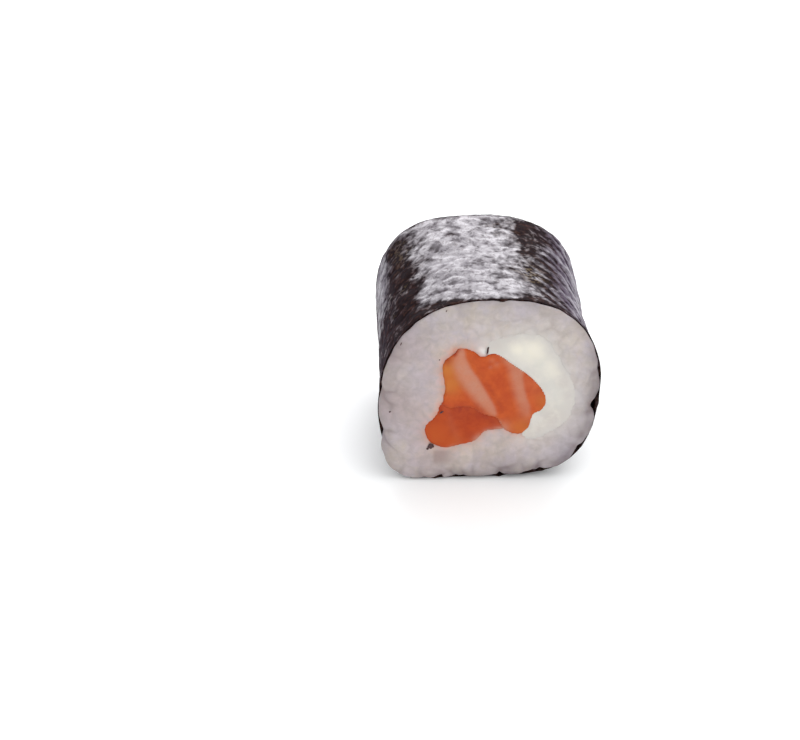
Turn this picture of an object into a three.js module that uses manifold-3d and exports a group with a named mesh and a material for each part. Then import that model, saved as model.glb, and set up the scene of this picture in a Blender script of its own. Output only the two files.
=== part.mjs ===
// One piece of a maki sushi roll, lying on its side: a sheet of nori wound round sushi rice, with two
// strips of salmon and a band of cream cheese running through it from one knife cut to the other.
//
// Millimetres, +Z up. The roll's axis lies along Y with its front cut face at -Y, and the origin is
// under the roll's middle, on the surface that it lies on. The sections below are drawn in the roll's own
// frame: x runs to the right across the front cut, y up, and z along the axis towards the front cut.
import * as THREE from "three";
import { mergeVertices } from "three/addons/utils/BufferGeometryUtils.js";
import Module from "manifold-3d";

const wasm = await Module();
wasm.setup();

// Driving dimensions.
const WIDTH = 30.8; // across the wrap at the front cut
const HEIGHT = 29.2;
const LENGTH = 26.8; // between the two knife cuts
const NORI_PLY = 0.35; // one layer of nori, wet from the rice
const CLEARANCE = 0.3; // between two solids that touch
const GRAIN = { length: 6.2, width: 3.1, thickness: 2.7 };

const FRONT = LENGTH / 2;
const { clamp, degToRad, euclideanModulo, lerp, smoothstep } = THREE.MathUtils;

// ---- Small tools ------------------------------------------------------------------------------

// A repeatable stream of numbers from 0 to 1.
function randomFrom(seed) {
  let state = seed;
  return () => {
    state = (state + 0x6d2b79f5) | 0;
    let mixed = Math.imul(state ^ (state >>> 15), 1 | state);
    mixed = (mixed + Math.imul(mixed ^ (mixed >>> 7), 61 | mixed)) ^ mixed;
    return ((mixed ^ (mixed >>> 14)) >>> 0) / 2 ** 32;
  };
}

// The angle from b to a, from -pi to pi.
const turnBetween = (a, b) => euclideanModulo(a - b + Math.PI, 2 * Math.PI) - Math.PI;

function geometryOf(points, faces) {
  const positions = points.flatMap((point) => point.toArray());
  return new THREE.BufferGeometry()
    .setAttribute("position", new THREE.Float32BufferAttribute(positions, 3))
    .setIndex(faces.flat());
}

// Two triangles for the quad a, b, c, d, which runs anticlockwise seen from outside.
const quad = (a, b, c, d) => [[a, b, c], [a, c, d]];

// A closed bar through outlines of equal length, listed from back to front, each running
// anticlockwise seen from the front.
function barThrough(outlines) {
  const sides = outlines[0].length;
  const faces = [];
  for (let station = 0; station + 1 < outlines.length; station++) {
    for (let side = 0; side < sides; side++) {
      const next = (side + 1) % sides;
      const [here, ahead] = [station * sides, (station + 1) * sides];
      faces.push(...quad(here + side, here + next, ahead + next, ahead + side));
    }
  }
  const lastRing = (outlines.length - 1) * sides;
  const capOf = (outline) => THREE.ShapeUtils.triangulateShape(outline, []);
  capOf(outlines[0]).forEach(([a, b, c]) => faces.push([c, b, a]));
  capOf(outlines.at(-1)).forEach((corners) => faces.push(corners.map((i) => lastRing + i)));
  return geometryOf(outlines.flat(), faces);
}

function solidOf(geometry) {
  const bare = geometry.clone();
  bare.deleteAttribute("normal");
  bare.deleteAttribute("uv");
  const merged = mergeVertices(bare);
  return new wasm.Manifold(
    new wasm.Mesh({
      numProp: 3,
      vertProperties: new Float32Array(merged.attributes.position.array),
      triVerts: new Uint32Array(merged.index.array),
    }),
  );
}

// The largest body of a solid, without loose scraps and with sealed hollows filled.
function mainBody(solid) {
  return solid.decompose().reduce((best, body) => (body.volume() > best.volume() ? body : best));
}

function geometryFrom(solid) {
  const mesh = solid.getMesh();
  return new THREE.BufferGeometry()
    .setAttribute("position", new THREE.BufferAttribute(mesh.vertProperties, 3))
    .setIndex(new THREE.BufferAttribute(mesh.triVerts, 1));
}

// ---- The roll's outer form --------------------------------------------------------------------

// A squarish oval, pressed flat below by its own weight. At the front cut its lower left corner is
// the fullest and its upper left one the slackest, which evens out towards the back. The knife has
// pressed the front wider: within a few millimetres behind it the roll draws in, more on its right.
const PRESSED = 0.4; // how much the oval's foot is flattened
const CENTRE_HEIGHT = (HEIGHT - PRESSED) / 2;
const SQUARENESS = 2.6; // the oval's power: 2 is an ellipse, more is squarer
const CORNERS = [
  { angle: degToRad(-133), spread: degToRad(20), front: 1.3, back: 0.55 },
  { angle: degToRad(141), spread: degToRad(30), front: -1.05, back: 0.55 },
];
const DRAWN_IN = { width: 0.05, height: 0.012, left: 0.5, within: 0.24 };
const RELIEF = 0.12; // height of the broad waves that run round the wrap

function ovalRadius(angle) {
  const across = Math.abs(Math.cos(angle) / (WIDTH / 2)) ** SQUARENESS;
  const upright = Math.abs(Math.sin(angle) / ((HEIGHT + PRESSED) / 2)) ** SQUARENESS;
  return (across + upright) ** (-1 / SQUARENESS);
}

function cornerBulge(angle, z) {
  const share = clamp(0.5 + z / LENGTH, 0, 1);
  return CORNERS.reduce((sum, corner) => {
    const away = turnBetween(angle, corner.angle) / corner.spread;
    return sum + lerp(corner.back, corner.front, share) * Math.exp(-away * away);
  }, 0);
}

// Broad shallow waves that run round the roll, as the damp sheet puckers between the cuts.
function waves(angle, z) {
  const drift = 0.9 * Math.sin(2 * angle + 0.4) + 0.5 * Math.sin(3 * angle - 1.1);
  return RELIEF * (0.6 * Math.sin(1.15 * z + drift) + 0.4 * Math.sin(0.55 * z + 4 * angle));
}

const wrapForm = (angle, z) => ovalRadius(angle) + cornerBulge(angle, z);
const wrapRadius = (angle, z) => wrapForm(angle, z) + waves(angle, z);

// How far the roll has drawn in at z, from 0 at the front cut to nearly 1 at the back one.
function drawnIn(z) {
  return 1 - Math.exp(-Math.max(0, 0.5 - z / LENGTH) / DRAWN_IN.within);
}

// A point of the section at that angle and radius, kept at least lift above the table.
function sectionPoint(angle, radius, z, lift) {
  const share = drawnIn(z);
  const x = radius * Math.cos(angle) * (1 - DRAWN_IN.width * share) - DRAWN_IN.left * share;
  const height = Math.max(radius * Math.sin(angle) + CENTRE_HEIGHT, lift);
  return new THREE.Vector3(x, height * (1 - DRAWN_IN.height * share) - CENTRE_HEIGHT, z);
}

// ---- Nori: one sheet, wound once round the rice with its end lapped over its start ---------------

const SETBACK = { above: 0.25, below: 1 }; // from the knife cut to the sheet's cut edge
const LAP_EDGE = degToRad(-128); // where the sheet's outer end stands as a step
const LAP_START = degToRad(-90); // where its inner end lies hidden under it
const LAP_SLOPE = degToRad(7);
const NORI_STATIONS = 14;
const NORI_ANGLES = 62;

// How many layers thick the wrap stands at an angle, from 1 to 2.
function plies(angle) {
  if (angle <= LAP_EDGE || angle >= LAP_START) return 1;
  return 1 + smoothstep(LAP_START - angle, 0, LAP_SLOPE);
}

// 1 over the top of the roll, where the wrap stands flush with the cut, and 0 round its sides and
// foot, where the rice swells out past it.
const flush = (angle) => smoothstep(Math.sin(angle), 0.1, 0.7);

// Half the sheet's width at an angle: its cut edges wander a little.
function noriEnd(angle) {
  const wander = 0.08 * Math.sin(5 * angle) + 0.06 * Math.sin(9 * angle + 1);
  return FRONT - lerp(SETBACK.below, SETBACK.above, flush(angle)) + wander;
}

const noriOutside = (angle, z) => wrapRadius(angle, z) + NORI_PLY * (plies(angle) - 1);
const noriInside = (angle, z) => wrapRadius(angle, z) - NORI_PLY;

// A closed wall: at each angle a loop of points runs along the outside and back along the inside.
function noriGeometry() {
  const even = Array.from({ length: NORI_ANGLES }, (_, i) => 2 * Math.PI * (i / NORI_ANGLES - 0.5));
  const step = degToRad(0.15); // two angles stand close together at the lap's square-cut edge
  const angles = [...even, LAP_EDGE - step, LAP_EDGE + step].sort((a, b) => a - b);
  const along = Array.from({ length: NORI_STATIONS }, (_, i) => (2 * i) / (NORI_STATIONS - 1) - 1);
  const points = angles.flatMap((angle) => {
    const places = along.map((share) => share * noriEnd(angle));
    const outside = places.map((z) => sectionPoint(angle, noriOutside(angle, z), z, 0));
    const underside = NORI_PLY * plies(angle);
    const inside = places.map((z) => sectionPoint(angle, noriInside(angle, z), z, underside));
    return [...outside, ...inside.reverse()];
  });
  const loop = 2 * NORI_STATIONS;
  const faces = angles.flatMap((_, row) => {
    const [here, ahead] = [row * loop, ((row + 1) % angles.length) * loop];
    return Array.from({ length: loop }, (__, i) => {
      const next = (i + 1) % loop;
      return quad(here + i, ahead + i, ahead + next, here + next);
    }).flat();
  });
  return geometryOf(points, faces);
}

// ---- Fillings: bars of one outline each, which turn and shrink a little towards the back ---------

// Outlines hold [x, height above the table] and run anticlockwise round the front cut.
const UPPER_SALMON = {
  outline: [
    [7.6, 13.8], [5.4, 16.9], [2.6, 19.2], [0.2, 20.8], [-1.4, 20.1], [-2.8, 21.3], [-5, 21.3],
    [-6.6, 18.9], [-6.1, 14.8], [-6.4, 12.2], [-4.2, 12.4], [-2.2, 12.2], [-0.9, 11], [1, 10.6],
    [2, 9.1], [4, 7.7], [5.4, 8.8], [5.8, 10.9], [7.4, 11.8],
  ],
  back: 0.94,
};
const LOWER_SALMON = {
  outline: [
    [-2.2, 13.4], [-6.3, 13.2], [-7.8, 10.4], [-8.8, 8.6], [-8.2, 6.7], [-6.6, 5.8], [-4, 6.4],
    [-2.1, 6.9], [-0.6, 8.5], [1.5, 9.2], [1.4, 11.6],
  ],
  back: 0.96,
};
const CHEESE = {
  outline: [
    [11.3, 13.6], [10.8, 16.1], [9.5, 18.7], [8.4, 21], [6.8, 22.9], [4.4, 23.3], [1.8, 22.8],
    [-0.5, 21.8], [1.2, 19.4], [4.6, 15.4], [5.6, 12.2], [4.2, 9], [5.6, 7.2], [7.2, 7.8],
    [9.2, 9], [10.7, 10.8],
  ],
  back: 0.97,
};
const FILLING_TURN = degToRad(9); // from the front cut to the back one
const FILLING_CENTRE = new THREE.Vector2(1, 14.5 - CENTRE_HEIGHT);
const FILLING_STATIONS = 7;
const FILLING_SIDES = 38;

const fillingBend = (z) => new THREE.Vector2(0.35 * Math.sin(0.3 * z), 0.3 * Math.sin(0.22 * z + 1));

// A filling's smooth outline at z, moved outwards by grow.
function fillingOutline({ outline, back }, z, grow = 0) {
  const knots = outline.map(([x, height]) => new THREE.Vector3(x, height - CENTRE_HEIGHT, 0));
  const curve = new THREE.CatmullRomCurve3(knots, true, "centripetal");
  const points = curve.getSpacedPoints(FILLING_SIDES).slice(0, -1);
  const share = clamp(0.5 - z / LENGTH, 0, 1);
  return points.map((point, i) => {
    const before = points.at(i - 1);
    const after = points[(i + 1) % points.length];
    const outwards = new THREE.Vector2(after.y - before.y, before.x - after.x).normalize();
    const flat = new THREE.Vector2(point.x, point.y)
      .sub(FILLING_CENTRE)
      .multiplyScalar(lerp(1, back, share))
      .addScaledVector(outwards, grow)
      .rotateAround(new THREE.Vector2(), FILLING_TURN * share)
      .add(FILLING_CENTRE)
      .add(fillingBend(z))
      .sub(fillingBend(FRONT));
    return new THREE.Vector3(flat.x, flat.y, z);
  });
}

// The filling as a solid that ends at the given distance past each knife cut.
function fillingSolid(filling, past, grow = 0) {
  const last = FILLING_STATIONS - 1;
  const along = Array.from({ length: FILLING_STATIONS }, (_, i) => (2 * i) / last - 1);
  return solidOf(barThrough(along.map((share) => fillingOutline(filling, share * (FRONT + past), grow))));
}

// The same filling grown by the clearance and run past both cuts, for cutting its neighbours.
const roomFor = (filling) => fillingSolid(filling, 3, CLEARANCE);

// ---- Rice: a core with the grains that show fused on, trimmed by the wrap and the knife ----------

const RICE_ANGLES = 44;
const LIP = 0.3; // the rice swells this far out over the wrap's cut edge
const DOME = 0.15; // the cut face stands this much prouder in the middle than near its rim
const CORE_SETBACK = 0.35; // between the grains the face lies this far behind the cut

const underNori = (angle, z) => wrapForm(angle, z) - RELIEF / 2 - NORI_PLY - CLEARANCE;
const overEdge = (angle, z) => lerp(wrapForm(angle, z) + LIP, underNori(angle, z), flush(angle));
const insideRim = (amount) => (angle, z) => overEdge(angle, z) - amount;

// A ring of points round the roll, from the radius and the place along the axis at each angle.
function ricePoints(radiusAt, zAt, lift) {
  return Array.from({ length: RICE_ANGLES }, (_, i) => {
    const angle = 2 * Math.PI * ((i + 0.5) / RICE_ANGLES - 0.5);
    const z = zAt(angle);
    return sectionPoint(angle, radiusAt(angle, z), z, lift);
  });
}

// A bar along the whole roll. Its end rings are listed from the cut face inwards and mirrored for the
// other end, with plain rings under the wrap between them.
function riceBar(endRings, middleRadius, middleLift) {
  const ringAt = ({ radius, z, lift }, end) => ricePoints(radius, (angle) => end * z(angle), lift);
  return solidOf(
    barThrough([
      ...endRings.map((ring) => ringAt(ring, -1)),
      ...[-0.6, 0, 0.6].map((share) => ricePoints(middleRadius, () => share * FRONT, middleLift)),
      ...endRings.toReversed().map((ring) => ringAt(ring, 1)),
    ]),
  );
}

// All that the grains may fill: inside the wrap, and swollen out past its cut edges at both ends.
function riceRoom() {
  const pastNori = (angle) => noriEnd(angle) + CLEARANCE;
  const belowLift = 2 * NORI_PLY + CLEARANCE;
  return riceBar(
    [
      { radius: insideRim(7), z: () => FRONT + DOME, lift: 0.1 },
      { radius: insideRim(0.9), z: () => FRONT, lift: 0.1 },
      { radius: insideRim(0.25), z: () => FRONT - 0.3, lift: 0.1 },
      { radius: insideRim(0), z: (angle) => Math.max(FRONT - 0.7, pastNori(angle)), lift: 0.1 },
      { radius: insideRim(0), z: pastNori, lift: 0.1 },
      { radius: underNori, z: (angle) => pastNori(angle) - 0.02, lift: belowLift },
    ],
    underNori,
    belowLift,
  );
}

function riceCore() {
  const under = (angle, z) => underNori(angle, z) - 0.1;
  return riceBar(
    [
      { radius: insideRim(0.95), z: () => FRONT - CORE_SETBACK, lift: 0.9 },
      { radius: insideRim(0.4), z: () => FRONT - 0.8, lift: 0.5 },
      { radius: under, z: () => FRONT - 1.7, lift: 1.1 },
    ],
    under,
    1.1,
  );
}

// One plump grain with few sides. lie turns it in the cut face, and tilt lifts a tip out of it.
function grainSolid({ centre, lie, tilt, size }) {
  const geometry = new THREE.OctahedronGeometry(0.52, 1)
    .scale(GRAIN.width * size, GRAIN.length * size, GRAIN.thickness * size)
    .rotateX(tilt)
    .rotateZ(lie)
    .translate(centre.x, centre.y, centre.z);
  return solidOf(geometry);
}

function contains(outline, point) {
  return outline.reduce((inside, a, i) => {
    const b = outline[(i + 1) % outline.length];
    const spans = a.y > point.y !== b.y > point.y;
    const crossing = a.x + ((point.y - a.y) / (b.y - a.y)) * (b.x - a.x);
    return spans && point.x < crossing ? !inside : inside;
  }, false);
}

// Grains lie in rings that follow the wrap. Those at the rim lie along it and the others any way.
const GRAIN_RINGS = [
  { inset: 1.35, spacing: 5.6, sunk: 1.45, start: degToRad(-48), stray: 0.1, lieSpread: degToRad(12) },
  { inset: 3.9, spacing: 5, sunk: 1.2, start: degToRad(-31), stray: 0.3, lieSpread: degToRad(60) },
  { inset: 6.4, spacing: 4.9, sunk: 1.2, start: degToRad(5), stray: 0.3, lieSpread: degToRad(90) },
  { inset: 8.9, spacing: 4.9, sunk: 1.2, start: degToRad(20), stray: 0.3, lieSpread: degToRad(90) },
];

function grainsAt(end, random) {
  const outlineFor = (filling) => fillingOutline(filling, end * FRONT, 0.9);
  const fillings = [UPPER_SALMON, LOWER_SALMON, CHEESE].map(outlineFor);
  const spread = (amount) => amount * (random() - 0.5);
  const grains = GRAIN_RINGS.flatMap(({ inset, spacing, sunk, start, stray, lieSpread }) => {
    const count = Math.round((2 * Math.PI * ((WIDTH + HEIGHT) / 4 - inset)) / spacing);
    return Array.from({ length: count }, (_, i) => {
      const angle = start + (2 * Math.PI * (i + spread(stray))) / count;
      const radius = overEdge(angle, end * FRONT) - inset + spread(0.4);
      return {
        centre: sectionPoint(angle, radius, end * (FRONT - sunk + spread(0.35)), 1.35),
        lie: angle + spread(2 * lieSpread),
        tilt: spread(degToRad(22)),
        size: 1 + spread(0.16),
      };
    });
  });
  return grains.filter(({ centre }) => !fillings.some((outline) => contains(outline, centre)));
}

function riceSolid() {
  const random = randomFrom(11);
  const grains = [1, -1].flatMap((end) => grainsAt(end, random)).map(grainSolid);
  const heap = grains.reduce((whole, grain) => whole.add(grain), riceCore());
  const rooms = [UPPER_SALMON, LOWER_SALMON, CHEESE].map(roomFor);
  return mainBody(rooms.reduce((rice, room) => rice.subtract(room), heap.intersect(riceRoom())));
}

// ---- The pieces -------------------------------------------------------------------------------

const finishes = {
  nori: new THREE.MeshStandardMaterial({ color: 0x1d1815, roughness: 0.45, metalness: 0 }),
  rice: new THREE.MeshStandardMaterial({ color: 0xe6dfd9, roughness: 0.5, metalness: 0 }),
  upperSalmon: new THREE.MeshStandardMaterial({ color: 0xd9652f, roughness: 0.35, metalness: 0 }),
  lowerSalmon: new THREE.MeshStandardMaterial({ color: 0xc9501f, roughness: 0.35, metalness: 0 }),
  cheese: new THREE.MeshStandardMaterial({ color: 0xf1eddd, roughness: 0.55, metalness: 0 }),
};

function named(name, geometry, finish) {
  const mesh = new THREE.Mesh(geometry, finish);
  mesh.name = name;
  return mesh;
}

const upperSalmon = fillingSolid(UPPER_SALMON, 0);
const lowerSalmon = mainBody(fillingSolid(LOWER_SALMON, -0.05).subtract(roomFor(UPPER_SALMON)));
const besideSalmon = fillingSolid(CHEESE, 0.1).subtract(roomFor(UPPER_SALMON));
const cheese = mainBody(besideSalmon.subtract(roomFor(LOWER_SALMON)));

const roll = new THREE.Group();
roll.add(
  named("nori_wrap", noriGeometry(), finishes.nori),
  named("sushi_rice", geometryFrom(riceSolid()), finishes.rice),
  named("salmon_strip_upper", geometryFrom(upperSalmon), finishes.upperSalmon),
  named("salmon_strip_lower", geometryFrom(lowerSalmon), finishes.lowerSalmon),
  named("cream_cheese", geometryFrom(cheese), finishes.cheese),
);
roll.rotation.x = Math.PI / 2; // lays the roll's axis down, with its front cut towards -Y

// Stood on the table over the origin.
const extent = new THREE.Box3().setFromObject(roll, true);
const middle = extent.getCenter(new THREE.Vector3());
roll.position.set(-middle.x, -middle.y, -extent.min.z);

const piece = new THREE.Group();
piece.add(roll);

export default piece;
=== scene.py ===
import math
from math import radians

import bpy
import numpy as np
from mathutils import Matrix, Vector, noise
from mathutils.bvhtree import BVHTree
from mathutils.kdtree import KDTree


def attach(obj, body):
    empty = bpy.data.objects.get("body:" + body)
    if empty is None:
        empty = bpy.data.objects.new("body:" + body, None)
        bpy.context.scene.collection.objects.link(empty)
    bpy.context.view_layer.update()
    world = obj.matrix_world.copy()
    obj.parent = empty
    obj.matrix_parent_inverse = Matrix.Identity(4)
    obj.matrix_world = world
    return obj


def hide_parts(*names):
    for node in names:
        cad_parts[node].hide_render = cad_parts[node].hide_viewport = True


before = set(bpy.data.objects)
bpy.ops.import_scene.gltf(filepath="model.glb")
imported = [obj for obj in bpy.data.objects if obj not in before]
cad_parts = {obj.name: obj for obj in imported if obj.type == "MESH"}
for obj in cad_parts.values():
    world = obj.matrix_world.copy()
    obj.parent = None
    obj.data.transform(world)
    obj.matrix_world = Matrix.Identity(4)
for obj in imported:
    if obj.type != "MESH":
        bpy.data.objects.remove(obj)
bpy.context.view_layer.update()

# ---- Nori wrap ------------------------------------------------------------------------------------
# One sheet of pressed, toasted seaweed, 0.35 mm thick once the rice has damped it. It goes once round
# the rice, its end lapped over its start under the roll, and the damp has puckered it into grooves
# that run round the roll. All lengths are in millimetres until they go into a mesh.

WRAP_WIDTH = 30.8
WRAP_HEIGHT = 29.2
ROLL_LENGTH = 26.8
SQUARENESS = 2.6  # an ellipse has 2, and more squares it
FOOT_PRESS = 0.4  # the roll's own weight presses this much of its foot flat
CENTRE_HEIGHT = (WRAP_HEIGHT - FOOT_PRESS) / 2
CUT = ROLL_LENGTH / 2
SHEET = 0.35
LAP_EDGE = radians(-128)  # where the sheet's outer end stands as a step
LAP_START = radians(-90)  # where its inner end lies hidden under it
LAP_SLOPE = radians(7)

# Corners of the wrap: (degrees round the roll, spread, how far out in front, how far out behind).
CORNERS = ((-133, 20, 1.65, 0.55), (141, 30, -1.05, 0.55))

# Where the front end bulges, is pressed in or stands off the table: (degrees, spread, amount).
FRONT_SWELLS = ((8, 14, 0.28), (-168, 9, 0.22), (-78, 8, -0.85), (-64, 9, -0.52))
SWELL_REACH = 5  # how far from the front cut they have all but gone


def turn_between(a, b):
    """The angle from b to a, from -pi to pi."""
    return (a - b + math.pi) % (2 * math.pi) - math.pi


def beside(angle, degrees, spread):
    """1 at a place round the roll, and falling off to both sides of it over the spread, in degrees."""
    away = turn_between(angle, radians(degrees)) / radians(spread)
    return np.exp(-away * away)


def smooth(value, low, high):
    """0 below low and 1 above high, with a smooth rise between them."""
    share = np.clip((value - low) / (high - low), 0, 1)
    return share * share * (3 - 2 * share)


def between(value, rise, fall):
    """1 between two smooth fades, each given by its two ends, and 0 outside them."""
    return smooth(value, *rise) * (1 - smooth(value, *fall))


def wrap_form(angle, y):
    """The roll's radius at an angle round it and a place along it, without the sheet's relief."""
    across = np.abs(np.cos(angle) / (WRAP_WIDTH / 2)) ** SQUARENESS
    upright = np.abs(np.sin(angle) / ((WRAP_HEIGHT + FOOT_PRESS) / 2)) ** SQUARENESS
    radius = (across + upright) ** (-1 / SQUARENESS)
    front = np.clip(0.5 - y / ROLL_LENGTH, 0, 1)
    for place, spread, at_front, at_back in CORNERS:
        radius = radius + (at_back + (at_front - at_back) * front) * beside(angle, place, spread)
    near_front = np.exp(-(y + CUT) / SWELL_REACH)
    for place, spread, amount in FRONT_SWELLS:
        radius = radius + amount * near_front * beside(angle, place, spread)
    return radius


# Behind the front cut the knife has drawn the roll in: it is narrower and lower by these shares, and
# lies further left. Most of it comes within the given share of the length.
DRAWN_NARROWER = 0.05
DRAWN_LOWER = 0.012
DRAWN_LEFT = 0.5
DRAWN_REACH = 0.24


def roll_point(angle, radius, y, lift=0.0):
    """Points of the roll in the part's frame, at least lift above the table."""
    angle, radius, y = np.broadcast_arrays(angle, radius, y)
    drawn = 1 - np.exp(-np.maximum(0, 0.5 + y / ROLL_LENGTH) / DRAWN_REACH)
    x = radius * np.cos(angle) * (1 - DRAWN_NARROWER * drawn) - DRAWN_LEFT * drawn
    height = np.maximum(radius * np.sin(angle) + CENTRE_HEIGHT, lift)
    return np.stack([x, y, height * (1 - DRAWN_LOWER * drawn)], axis=-1)


def flush(angle):
    """1 over the top, where the wrap stands level with the cut, and 0 round the sides and foot."""
    return smooth(np.sin(angle), 0.1, 0.7)


def setback(angle):
    """How far the sheet's edge lies behind the cut."""
    return 1 - 0.75 * flush(angle)


# Gaps between two rim grains of the front cut: (degrees, half width in degrees, depth).
RIM_GAPS = (
    (-8.5, 2.5, 1.65), (-35.5, 1.4, 0.36), (-60, 1.6, 0.6),
    (-83, 1.6, 0.8), (-104, 1.2, 0.3), (-116.3, 1.6, 1.2),
)


def rim_gap(angle, wider=1):
    return sum(depth * beside(angle, place, width * wider) for place, width, depth in RIM_GAPS)


def nori_end(angle, side):
    """How far from the roll's middle the sheet's cut edge lies. side is -1 at the front, 1 behind."""
    wander = 0.08 * np.sin(5 * angle) + 0.06 * np.sin(9 * angle + 1)
    into_gaps = 0.2 * rim_gap(angle) if side < 0 else 0
    return CUT - setback(angle) + wander + into_gaps


def from_end(angle, y):
    """How far a place on the sheet lies from its nearer cut edge."""
    return np.minimum(nori_end(angle, -1) + y, nori_end(angle, 1) - y)


def lumps(points, scale, shift=0.0):
    """Smooth noise, about -1 to 1, at each point. scale is in lumps for each millimetre."""
    places = np.asarray(points, float) * scale + shift
    values = [noise.noise(place) for place in places.reshape(-1, 3).tolist()]
    return np.array(values).reshape(places.shape[:-1])


FLAT_RADIUS = 15  # the sheet is laid out flat as if it were a plain ring of this radius
PLEAT_SPACING = 3.1
PLEAT_LEAN = -16.0  # millimetres along the roll for each radian round it
PLEAT_PLACE = radians(32)
PLEAT_DEPTH = 0.10


def sheet_ring(angle, y):
    return np.stack([FLAT_RADIUS * np.cos(angle), y, FLAT_RADIUS * np.sin(angle)], axis=-1)


def pleats(angle, y):
    """0 in the creases between the leaning pleats, and 1 on their backs."""
    ring = sheet_ring(angle, y)
    wander = 0.8 * lumps(ring, (0.13, 0.22, 0.13), 1.7) + 0.5 * lumps(ring, (0.3, 0.12, 0.3), 2.4)
    return np.abs(np.sin(math.pi * ((y + PLEAT_LEAN * angle) / PLEAT_SPACING + wander))) ** 0.8


# The sheet's puckers, from broad to fine: (height, lumps for each millimetre, shift).
PUCKERS = (
    (0.16, (0.13, 0.22, 0.13), 1.7),
    (0.10, (0.38, 0.34, 0.38), 11.3),
    (0.06, (0.9, 0.7, 0.9), 5.2),
    (0.02, (2.0, 1.5, 2.0), 9.4),
)
COCKLE_DEPTH = 0.07  # narrow grooves that wander over the sheet


def relief(angle, y):
    """The sheet's puckers, with leaning pleats over the right shoulder, and calm at its cut edges."""
    ring = sheet_ring(angle, y)
    height = sum(amount * lumps(ring, scale, shift) for amount, scale, shift in PUCKERS)
    height -= COCKLE_DEPTH * np.exp(-((lumps(ring, (0.28, 0.42, 0.28), 7.7) / 0.2) ** 2))
    shoulder = smooth(np.cos(angle - PLEAT_PLACE), 0.84, 0.96)
    height += PLEAT_DEPTH * shoulder * (pleats(angle, y) - 1)
    at_edge = np.where(y > 0, 0.7, 0.25)
    return height * (at_edge + (1 - at_edge) * smooth(from_end(angle, y), 0.1, 1.6))


def edge_turn(angle, y):
    """Over the top the sheet's last millimetre turns in. Round the sides the rice pushes it out."""
    pushed_out = 0.10 * (1 - flush(angle))
    turned_in = np.where(y < 0, 0.06, 0.30) * flush(angle)
    return (pushed_out - turned_in) * np.exp(-np.maximum(from_end(angle, y), 0) / 0.5)


def wrap_radius(angle, y):
    return wrap_form(angle, y) + edge_turn(angle, y)


def loop_mesh(name, rows):
    """A closed skin through a grid of points, rows by columns, that closes on itself both ways."""
    grid = np.asarray(rows, float)
    here = np.arange(grid.shape[0] * grid.shape[1]).reshape(grid.shape[:2])
    right, below = np.roll(here, -1, axis=1), np.roll(here, -1, axis=0)
    quads = np.stack([here, right, np.roll(below, -1, axis=1), below], axis=-1).reshape(-1, 4)
    points = grid.reshape(-1, 3)
    a, b, c, d = (points[quads[:, i]] for i in range(4))
    volume = np.sum(np.cross(b - a, c - a) * a) + np.sum(np.cross(c - a, d - a) * a)
    if volume < 0:
        quads = quads[:, ::-1]
    mesh = bpy.data.meshes.new(name)
    mesh.from_pydata((points * 0.001).tolist(), [], quads.tolist())
    return shown(name, mesh)


def shown(name, mesh):
    """The mesh as a smooth piece of the scene."""
    mesh.polygons.foreach_set("use_smooth", np.ones(len(mesh.polygons), bool))
    mesh.update()
    piece = bpy.data.objects.new(name, mesh)
    bpy.context.scene.collection.objects.link(piece)
    return piece


def mark(piece, name, values):
    """Keeps one number, or one vector, for each of the piece's points, for its material to read."""
    values = np.asarray(values, np.float32)
    kind, field = ("FLOAT", "value") if values.ndim == 1 else ("FLOAT_VECTOR", "vector")
    piece.data.attributes.new(name, kind, "POINT").data.foreach_set(field, values.ravel())


# The sheet is laid out from the lap's edge, once round the roll and back to it. Its columns crowd at
# that edge, which stands as a step and wanders a little.
SHEET_COLUMNS = 544
SHEET_ROWS = 156
INSIDE_ROWS = 9
EDGE_DEPTHS = (0.03, 0.15, 0.3)
sheet_turn = np.radians([0, 0.5, 1.2, *np.linspace(1.8, 358.2, SHEET_COLUMNS), 359, 359.9])


def sheet_skin(rows, depth=0.0, inner=False):
    """One face of the sheet: depth below its outside, or, if inner, the face that lies on the rice."""
    share, turned = np.meshgrid(rows, sheet_turn, indexing="ij")
    straight = LAP_EDGE + turned
    y = np.where(share < 0, share * nori_end(straight, -1), share * nori_end(straight, 1))
    wander = radians(0.8) * np.sin(0.5 * y + 1) + radians(0.4) * np.sin(1.3 * y)
    angle = straight + wander * np.exp(-((turn_between(straight, LAP_EDGE) / radians(9)) ** 2))
    second_ply = smooth(LAP_START - LAP_EDGE - turned, 0, LAP_SLOPE)
    lifted_edge = 0.1 * np.exp(-((turned / radians(3)) ** 2))
    outer = wrap_radius(angle, y) + relief(angle, y) + SHEET * second_ply + lifted_edge
    thickness = SHEET * (1 + second_ply)
    radius = outer - thickness if inner else outer - depth
    points = roll_point(angle, radius, y, thickness * 0.95 if inner else depth)
    place = np.stack([turned * FLAT_RADIUS, y, np.zeros_like(y)], axis=-1)
    return points, place


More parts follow.
